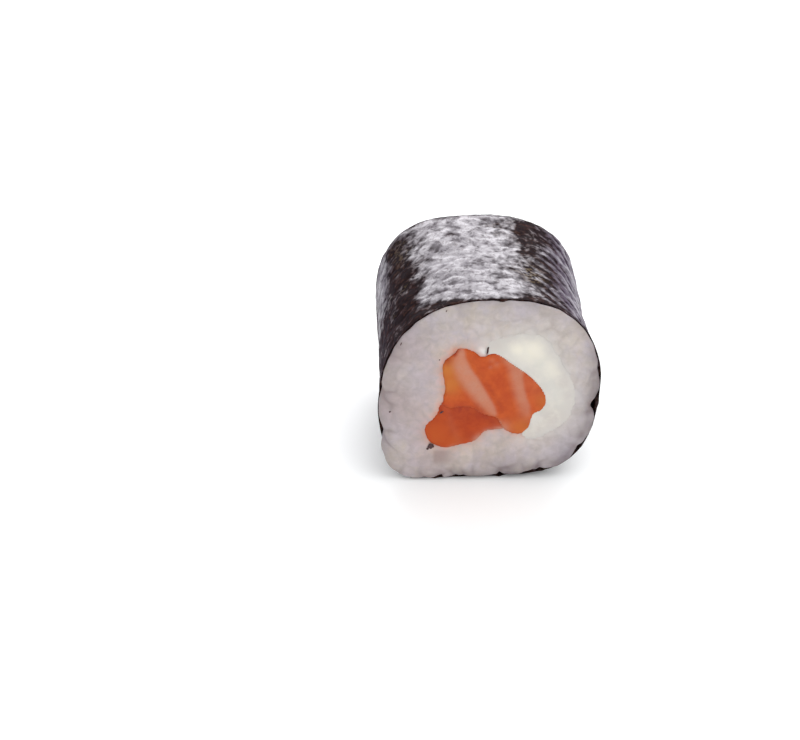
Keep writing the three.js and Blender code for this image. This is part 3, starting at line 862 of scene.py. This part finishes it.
def carved(node, name, voxel, rounds, swell):
    """A fine, softly rounded skin over a solid, swollen a little so that it meets its neighbours."""
    rough = bpy.data.objects.new(name + "_rough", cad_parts[node].data.copy())
    bpy.context.scene.collection.objects.link(rough)
    remesh = rough.modifiers.new("fine", "REMESH")
    remesh.mode = "VOXEL"
    remesh.voxel_size = voxel * 0.001
    evaluated = rough.evaluated_get(bpy.context.evaluated_depsgraph_get())
    mesh = bpy.data.meshes.new_from_object(evaluated)
    bpy.data.objects.remove(rough)
    mesh.name = name
    ends = np.zeros(len(mesh.edges) * 2, int)
    mesh.edges.foreach_get("vertices", ends)
    a, b = ends.reshape(-1, 2).T
    neighbours = np.bincount(ends, minlength=len(mesh.vertices))[:, None]
    along_less = np.array([1, 0.2, 1])
    points = each_point(mesh) * 1000 + each_point(mesh, "normal") * swell * along_less
    for _ in range(rounds):
        total = np.zeros_like(points)
        np.add.at(total, a, points[b])
        np.add.at(total, b, points[a])
        points = points * 0.45 + total / neighbours * 0.55
    write_points(mesh, points)
    return mesh, points


def cut_level(mesh, points, level):
    """Lays the cut faces flat, level millimetres from the roll's middle, as the knife does."""
    on_cut = smooth(np.abs(each_point(mesh, "normal")[:, 1]), 0.55, 0.85)
    flat = np.sign(points[:, 1]) * (level + 0.012 * lumps(points, (0.5, 0, 0.5), 3.0))
    points = points.copy()
    points[:, 1] += (flat - points[:, 1]) * on_cut
    return points


def from_edge(points, normals):
    """How far each point of the cut faces lies from that face's edge, in millimetres."""
    upright = np.abs(normals[:, 1])
    edge = np.flatnonzero((upright < 0.9) & (upright > 0.3))
    edge_points = KDTree(len(edge))
    for i in edge:
        edge_points.insert(points[i], int(i))
    edge_points.balance()
    away = np.zeros(len(points))
    on_face = upright >= 0.9
    away[on_face] = [edge_points.find(point)[2] for point in points[on_face]]
    return away


def pushed(points, x, z, pushes):
    """Small moves of the strip's sides: each (x, z, reach, how far across, how far up)."""
    for at_x, at_z, reach, across, up in pushes:
        weight = np.exp(-((x - at_x) ** 2 + (z - at_z) ** 2) / reach**2)
        points = points + weight[:, None] * np.array([across, 0, up])
    return points


def strip(node, name, swell, level, back_size, pushes):
    """A strip's mesh with its cuts laid level and its sides pushed, its points, and their x and z."""
    mesh, points = carved(node, name, voxel=0.22, rounds=2, swell=swell)
    points = cut_level(mesh, points, level)
    x, z = front_place(points, back_size)
    points = pushed(points, x, z, pushes)
    write_points(mesh, points)
    return mesh, points, x, z


def uneven_side(points, normals, shift):
    """Small waves of a strip's sides, none on its cut faces."""
    waves = 0.16 * lumps(points, (0.6, 0.2, 0.6), shift) + 0.09 * lumps(points, (1.7, 0.5, 1.7), shift + 4)
    return waves * (1 - np.abs(normals[:, 1]))


def near_spots(x, z, *spots):
    """0 to 1: how near each point is to the spots, each (x, z, size)."""
    return np.max([np.exp(-((x - a) ** 2 + (z - b) ** 2) / size**2) for a, b, size in spots], axis=0)


# The two bands of fat on the upper strip: their left and right side at these heights, and how pale.
BAND_HEIGHTS = (10.4, 11.0, 12.2, 13.5, 15.2, 16.9, 18.5, 20.2, 21.5)
BROAD_BAND = (
    (0.6, -0.2, -1.3, -2.3, -3.5, -4.6, -5.2, -5.4, -5.4),
    (1.2, 1.15, 0.85, 0.2, -0.7, -1.6, -2.65, -3.35, -3.55),
    (0.75, 0.78, 0.85, 0.95, 1.0, 1.0, 1.0, 0.95, 0.9),
)
FAINT_BAND = (
    (4.3, 4.2, 4.0, 3.6, 3.2, 2.8, 2.5, 1.4, 0.6),
    (6.0, 5.9, 5.8, 5.3, 4.9, 4.6, 4.8, 3.6, 2.8),
    (0.3, 0.45, 0.65, 0.75, 0.78, 0.78, 0.75, 0.65, 0.35),
)


def fat_band(x, z, band, soft_left, crisp_right, lower_end):
    """0 to 1 for each point of the upper strip, with each side and the lower end fading as given."""
    left, right, pale = (np.interp(z, BAND_HEIGHTS, row) for row in band)
    return smooth(x - left, *soft_left) * smooth(right - x, *crisp_right) * pale * smooth(z, *lower_end)


FAT = (0.62, 0.275, 0.180, 1)
FAT_BESIDE_FLESH = (0.64, 0.262, 0.160, 1)
# painted shade on the salmon
PAINTED_SHADE_FLESH = (0.36, 0.036, 0.012, 1)
# the pale of milky smears and of painted glints
PALE_SMEAR_AND_GLINT = (0.64, 0.40, 0.31, 1)


def salmon_finish(name, piece, flesh, deep_flesh, ochre):
    """Moist raw salmon, by the piece's marks: fat, ochre, painted shade, and milky smears with painted
    glints.
    """
    tree, shader = finish_named(
        name,
        piece,
        Specular_IOR_Level=0.22,
        Subsurface_Weight=0.3,
        Subsurface_Radius=(1.0, 0.3, 0.12),
        Subsurface_Scale=0.0009,
    )
    patches, fine, height = soft_food(tree, patch_mm=1.4, fine_mm=0.35)
    meat = blended(tree, ranged(tree, patches, 0.36, 0.64), flesh, deep_flesh)
    ochre_share = worked(tree, "MULTIPLY", marked(tree, "ochre"), ranged(tree, patches, 0.3, 0.6, 0.75, 1.0))
    meat = blended(tree, ochre_share, meat, ochre)
    fat = blended(tree, ranged(tree, patches, 0.4, 0.6), FAT, FAT_BESIDE_FLESH)
    fat_share = worked(tree, "MULTIPLY", marked(tree, "fat"), ranged(tree, fine, 0.25, 0.6, 0.8, 1.0))
    meat = blended(tree, fat_share, meat, fat)
    # Painted shade at the strips' edges and where they meet.
    shaded = worked(tree, "MULTIPLY", marked(tree, "shade"), ranged(tree, patches, 0.35, 0.6, 0.4, 1.0))
    meat = blended(tree, shaded, meat, PAINTED_SHADE_FLESH)
    # Milky smears, with painted glints on the upper strip.
    smear_and_glint = worked(tree, "MULTIPLY", marked(tree, "smear_and_glint"), ranged(tree, patches, 0.3, 0.6, 0.7, 1.0))
    put(tree, blended(tree, smear_and_glint, meat, PALE_SMEAR_AND_GLINT), shader.inputs["Base Color"])
    put(tree, ranged(tree, fine, 0.3, 0.7, 0.34, 0.52), shader.inputs["Roughness"])
    bumpy(tree, shader, height, 0.6, 0.00007)


UPPER_PUSHES = (
    (-5.8, 21.3, 1.1, 0.65, -0.45),
    (-6.4, 17.5, 2.4, 0.2, 0),
    (2.8, 9.2, 1.1, -0.4, -0.2),
    (-1.0, 21.7, 0.75, 0, -0.85),
    (-0.8, 21.0, 0.5, 0, -0.6),
)
mesh, points, x, z = strip("salmon_strip_upper", "salmon_upper", 0.32, 13.55, 0.94, UPPER_PUSHES)
broad = fat_band(x, z, BROAD_BAND, (-0.8, 1.2), (-0.3, 0.45), (10.0, 11.2))
faint = fat_band(x, z, FAINT_BAND, (-0.7, 1.0), (-0.3, 0.5), (8.8, 11))
flakes = np.sin(1.9 * (x + 0.45 * z) + 0.6 * np.sin(0.8 * z))
normals = each_point(mesh, "normal")
raised = 0.03 * broad - 0.02 * faint + 0.02 * flakes + uneven_side(points, normals, 3.3)
points += normals * raised[:, None]
write_points(mesh, points)
upper = shown("salmon_upper", mesh)

golden_side = 0.9 * near_spots(x, z, (-6.0, 18.4, 2.5), (-5.6, 16.0, 1.7))
golden_lobe = 0.5 * near_spots(x, z, (4.6, 8.7, 1.8), (7.9, 13.0, 1.4))
# Painted shade: along the strip's top-left side, towards the lower strip, beside the broad band and round the
# cut face's edge.
dark_side = 0.8 * near_spots(x, z, (-6.2, 19.8, 0.8), (-5.4, 21.3, 0.7), (-4.6, 21.7, 0.6))
under_side = 0.4 * (1 - smooth(z, 11.6, 13.2)) * (1 - smooth(x, -2.0, 0.0))
beside_band = np.exp(-(((x - np.interp(z, BAND_HEIGHTS, BROAD_BAND[1]) - 0.75) / 0.4) ** 2))
shade_beside_band = 0.35 * beside_band * between(z, (10.6, 12), (16, 20))
cut_edge_shade = 0.12 * np.exp(-from_edge(points, normals) / 0.18)
# Small painted glints of moisture near the fillings' top, kept with the milky smears.
painted_glints = 0.35 * near_spots(x, z, (0.3, 19.7, 0.4), (0.9, 19.0, 0.5), (0.1, 18.6, 0.3))
smears = near_spots(x, z, (2.3, 8.9, 0.9), (1.6, 9.4, 0.6), (8.6, 14.3, 0.5))
mark(upper, "fat", np.clip(broad + faint + 0.12 * near_spots(x, z, (6.0, 16.0, 2.5)), 0, 1))
mark(upper, "ochre", np.maximum(golden_side, golden_lobe))
mark(upper, "shade", np.clip(dark_side + under_side + shade_beside_band + cut_edge_shade, 0, 1))
mark(upper, "smear_and_glint", 0.5 * np.maximum(painted_glints, smears))
salmon_finish(
    "salmon_pale",
    upper,
    flesh=(0.63, 0.108, 0.018, 1),
    deep_flesh=(0.54, 0.074, 0.012, 1),
    ochre=(0.63, 0.205, 0.036, 1),
)
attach(upper, "root")
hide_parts("salmon_strip_upper")

LOWER_PUSHES = (
    (2.2, 9.6, 1.3, 1.3, -0.55),
    (0.2, 8.6, 1.2, 0, -0.1),
    (-3.5, 6.4, 2.0, 0, -0.2),
    (-6.6, 11.2, 1.3, 0.55, -0.2),
    (-3.0, 12.0, 2.4, 0, 0.6),
    (-8.8, 8.9, 0.9, -0.25, 0.1),
)
mesh, points, x, z = strip("salmon_strip_lower", "salmon_lower", 0.34, 13.51, 0.96, LOWER_PUSHES)
normals = each_point(mesh, "normal")
raised = 0.03 * np.sin(1.6 * (x - 0.9 * z)) + uneven_side(points, normals, 5.8)
points += normals * raised[:, None]
write_points(mesh, points)
lower = shown("salmon_lower", mesh)

golden_foot = 0.8 * near_spots(x, z, (-7.4, 7.6, 2.6), (-5.0, 6.3, 2.0), (2.0, 8.6, 1.4))
# Painted shade where the strips meet, and round the cut face's edge.
contact_shade = 0.85 * near_spots(x, z, (-1.7, 11.5, 1.0), (-0.5, 10.9, 0.9), (0.8, 10.3, 0.8), (-3.6, 11.6, 1.5))
smears = near_spots(x, z, (-1.2, 6.9, 0.9), (0.1, 7.7, 0.9), (1.4, 8.4, 0.9), (-5.0, 5.2, 0.7))
in_from_edge = from_edge(points, normals)
mark(lower, "fat", 0.08 * np.exp(-(((x + 0.4 * z + 1.5) / 0.6) ** 2)))
mark(lower, "ochre", golden_foot)
mark(lower, "shade", np.clip(contact_shade + 0.12 * np.exp(-in_from_edge / 0.2), 0, 1))
mark(lower, "smear_and_glint", smears * np.clip(1.3 * np.exp(-in_from_edge / 0.6), 0, 0.9))
salmon_finish(
    "salmon_deep",
    lower,
    flesh=(0.53, 0.070, 0.010, 1),
    deep_flesh=(0.45, 0.048, 0.007, 1),
    ochre=(0.60, 0.105, 0.014, 1),
)
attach(lower, "root")
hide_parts("salmon_strip_lower")

# ---- Cream cheese ---------------------------------------------------------------------------------
# A soft white cheese, spread along the salmon and pressed round its right side as the roll was
# wound. The knife has smeared its cut faces, which are a little creamier than the rice.

CREAM = (0.805, 0.77, 0.705, 1)
PALE_CREAM = (0.745, 0.725, 0.67, 1)
RICH_CREAM = (0.925, 0.875, 0.765, 1)
THIN_CREAM = (0.66, 0.60, 0.555, 1)
EDGE_CREAM = (0.70, 0.66, 0.62, 1)
RICH_PLACES = ((6.0, 21.5, 2.2), (3.9, 21.4, 1.3), (9.3, 18.4, 1.6))
THIN_PLACES = (
    (10.6, 16.4, 1.3), (0.6, 22.8, 1.6), (2.6, 23.6, 1.5),
    (9.2, 9.6, 2.2), (11.6, 14.0, 1.2), (6.6, 8.2, 1.6),
)

mesh, points = carved("cream_cheese", "cream_cheese_band", voxel=0.24, rounds=3, swell=0.85)
points = cut_level(mesh, points, 13.49)
normals = each_point(mesh, "normal")
smear = lumps(points, (0.42, 0.3, 0.42), 8.8) + 0.4 * lumps(points, (1.1, 0.5, 1.1), 1.1)
points += normals * (0.12 * smear * (1 - 0.85 * np.abs(normals[:, 1])))[:, None]
write_points(mesh, points)
cheese = shown("cream_cheese_band", mesh)

x, z = front_place(points, 1)
at_edge = np.exp(-((from_edge(points, normals) / 1.3) ** 2))
mark(cheese, "rich", near_spots(x, z, *RICH_PLACES))
mark(cheese, "thin", near_spots(x, z, *THIN_PLACES))
mark(cheese, "edge", at_edge * (1 - near(mesh, salmon_surface, 2.5)))
tree, shader = finish_named(
    "cream_cheese_white",
    cheese,
    Subsurface_Weight=0.4,
    Subsurface_Radius=(1.0, 0.9, 0.7),
    Subsurface_Scale=0.0006,
)
patches, fine, height = soft_food(tree, patch_mm=1.6, fine_mm=0.5)
cream = blended(tree, ranged(tree, patches, 0.38, 0.62), CREAM, PALE_CREAM)
cream = blended(tree, marked(tree, "rich"), cream, RICH_CREAM)
thin = worked(tree, "MULTIPLY", marked(tree, "thin"), ranged(tree, patches, 0.36, 0.56, 0.3, 1.0))
cream = blended(tree, thin, cream, THIN_CREAM)
edge = worked(tree, "MULTIPLY", marked(tree, "edge"), ranged(tree, patches, 0.36, 0.6, 0.8, 1.1))
put(tree, blended(tree, edge, cream, EDGE_CREAM), shader.inputs["Base Color"])
put(tree, ranged(tree, fine, 0.3, 0.7, 0.46, 0.62), shader.inputs["Roughness"])
bumpy(tree, shader, height, 0.6, 0.00009)
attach(cheese, "root")
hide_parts("cream_cheese")

# ---- Nori crumbs ----------------------------------------------------------------------------------
# The knife has dragged a few crumbs of the toasted sheet onto the cut. They are thin ragged scraps that
# stick to the moist rice and salmon, the largest beside the lower strip's foot. The tall thin one beside
# the fillings' top is a dark scrap put in the slit as painted shade.

CRUMBS = (  # x, z, width, height, turn in degrees
    (-8.1, 5.9, 0.98, 0.80, 25),
    (-8.55, 5.5, 0.5, 0.32, 50),
    (-13.85, 11.5, 0.32, 0.26, 0),
    (-6.1, 27.5, 0.30, 0.16, 60),
    (-7.0, 19.9, 0.20, 0.14, 10),
    (-6.65, 11.45, 0.66, 0.28, 35),
    (-12.3, 22.4, 0.5, 0.16, 70),
    # a dark scrap standing in the slit as painted shade
    (-0.38, 21.25, 0.30, 1.3, -8),
)
CRUMB_RINGS = 5
CRUMB_SPOKES = 20
CRUMB_LIFT = 0.05
CRUMB_HALF_THICKNESS = 0.07
CRUMB_BLACK = (0.045, 0.016, 0.018, 1)
CRUMB_BROWN = (0.105, 0.042, 0.042, 1)

cut_surfaces = [
    BVHTree.FromPolygons([v.co for v in piece.data.vertices], [p.vertices for p in piece.data.polygons])
    for piece in (rice, lower, upper)
]


def front_level(x, z):
    """The y of the front cut's surface at a place on it."""
    before_cut = Vector((x * 0.001, -0.03, z * 0.001))
    hits = [surface.ray_cast(before_cut, Vector((0, 1, 0)))[0] for surface in cut_surfaces]
    return min(hit.y * 1000 for hit in hits if hit is not None)


def crumb_leaf(number, x, z, width, height, turn):
    """A ragged leaf's points: its outer face in rings from the middle out, then its inner face back."""
    level = min(front_level(x, z + part * height) for part in (-0.4, 0, 0.4)) - CRUMB_LIFT
    cos, sin = math.cos(radians(turn)), math.sin(radians(turn))
    outwards = [(1, ring) for ring in range(1, CRUMB_RINGS + 1)]
    leaf = []
    for side, ring in outwards + [(-side, ring) for side, ring in reversed(outwards)]:
        share = ring / CRUMB_RINGS
        thick = CRUMB_HALF_THICKNESS * math.sqrt(1 - share**2) * side
        for spoke in range(CRUMB_SPOKES):
            angle = 2 * math.pi * spoke / CRUMB_SPOKES
            edge_place = Vector((1.7 * math.cos(angle), 1.7 * math.sin(angle), 5.3 * number))
            ragged = share * (1 + 0.38 * noise.noise(edge_place))
            along, up = ragged * width * math.cos(angle) / 2, ragged * height * math.sin(angle) / 2
            wave = 0.05 * noise.noise(Vector((5 * along, 5 * up, 2.1 * number)))
            leaf.append((x + along * cos - up * sin, level - wave - thick, z + along * sin + up * cos))
    return leaf


crumb_points, crumb_faces = [], []
for number, crumb in enumerate(CRUMBS):
    rings = range(len(crumb_points), len(crumb_points) + 2 * CRUMB_RINGS * CRUMB_SPOKES, CRUMB_SPOKES)
    crumb_points += crumb_leaf(number, *crumb)
    for ring in rings[:-1]:
        for spoke in range(CRUMB_SPOKES):
            here = ring + spoke
            next_one = ring + (spoke + 1) % CRUMB_SPOKES
            crumb_faces.append((here, next_one, next_one + CRUMB_SPOKES, here + CRUMB_SPOKES))
    crumb_faces.append([rings[0] + spoke for spoke in reversed(range(CRUMB_SPOKES))])
    crumb_faces.append([rings[-1] + spoke for spoke in range(CRUMB_SPOKES)])
mesh = bpy.data.meshes.new("nori_crumbs")
mesh.from_pydata([[value * 0.001 for value in point] for point in crumb_points], [], crumb_faces)
crumbs = shown("nori_crumbs", mesh)
tree, shader = finish_named("toasted_crumb", crumbs)
place = add_node(tree, "ShaderNodeTexCoord").outputs["Object"]
crumb_grain = cloudy(tree, place, 4000, 3, 0.6)
crumb_colour = blended(tree, ranged(tree, crumb_grain, 0.4, 0.62), CRUMB_BLACK, CRUMB_BROWN)
put(tree, crumb_colour, shader.inputs["Base Color"])
put(tree, ranged(tree, crumb_grain, 0.35, 0.65, 0.5, 0.75), shader.inputs["Roughness"])
bumpy(tree, shader, crumb_grain, 0.6, 0.00005)
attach(crumbs, "root")

# ---- Table, light and camera ------------------------------------------------------------------------
# A plain white table in a pale room, with one broad soft light overhead, a window behind, and one more
# behind that only glosses the wet surfaces.

TABLE_WHITE = (0.935, 0.955, 0.96, 1)
TABLE_PALE = (0.95, 0.965, 0.97, 1)

bpy.ops.mesh.primitive_plane_add(size=6)
table = bpy.context.object
table.name = "table"
tree, shader = finish_named(
    "white_table", table, Roughness=0.6, Emission_Color=(1, 1, 1, 1), Emission_Strength=0.10
)
place = add_node(tree, "ShaderNodeTexCoord").outputs["Object"]
put(tree, blended(tree, cloudy(tree, place, 3, 2), TABLE_WHITE, TABLE_PALE), shader.inputs["Base Color"])


def soft_light(name, place, aim, width, depth, watts, colour=(1.0, 1.0, 1.0)):
    """A rectangular soft light at a place, in metres, that shines towards its aim."""
    light = bpy.data.lights.new(name, "AREA")
    light.shape = "RECTANGLE"
    light.size = width
    light.size_y = depth
    light.energy = watts
    light.color = colour
    lamp = bpy.data.objects.new(name, light)
    lamp.location = place
    lamp.rotation_euler = (Vector(aim) - Vector(place)).to_track_quat("-Z", "Y").to_euler()
    bpy.context.scene.collection.objects.link(lamp)
    return lamp


soft_light("softbox_above", (0.26, -0.12, 0.55), (0, 0, 0), 0.7, 0.7, 1.75)
soft_light("window_behind", (0.2, 0.7, 0.5), (0, 0, 0), 0.9, 0.5, 1.5)
gloss_light = soft_light(
    "softbox_behind", (-0.02, 0.45, 0.26), (0, 0, 0.02), 0.56, 0.42, 4.0, (0.98, 0.96, 1.0)
)
gloss_light.visible_diffuse = False

WALLS = (0.34, 0.335, 0.335, 1)
CEILING = (0.90, 0.90, 0.90, 1)
world = bpy.data.worlds.new("pale_room")
bpy.context.scene.world = world
world.use_nodes = True
room = world.node_tree
direction = add_node(room, "ShaderNodeTexCoord").outputs["Generated"]
up = add_node(room, "ShaderNodeSeparateXYZ", Vector=direction).outputs["Z"]
room_colour = blended(room, ranged(room, up, 0.1, 0.85), WALLS, CEILING)
put(room, room_colour, room.nodes["Background"].inputs["Color"])

camera = bpy.data.objects.new("camera", bpy.data.cameras.new("camera"))
bpy.context.scene.collection.objects.link(camera)
camera.data.lens = 115.55
camera.data.sensor_width = 36
camera.data.clip_start = 0.02
camera.location = (-0.020436, -0.318694, 0.198180)
camera.rotation_euler = (radians(90 - 30.5), 0, radians(-1.5))
bpy.context.scene.camera = camera
bpy.context.scene.view_settings.view_transform = "Standard"
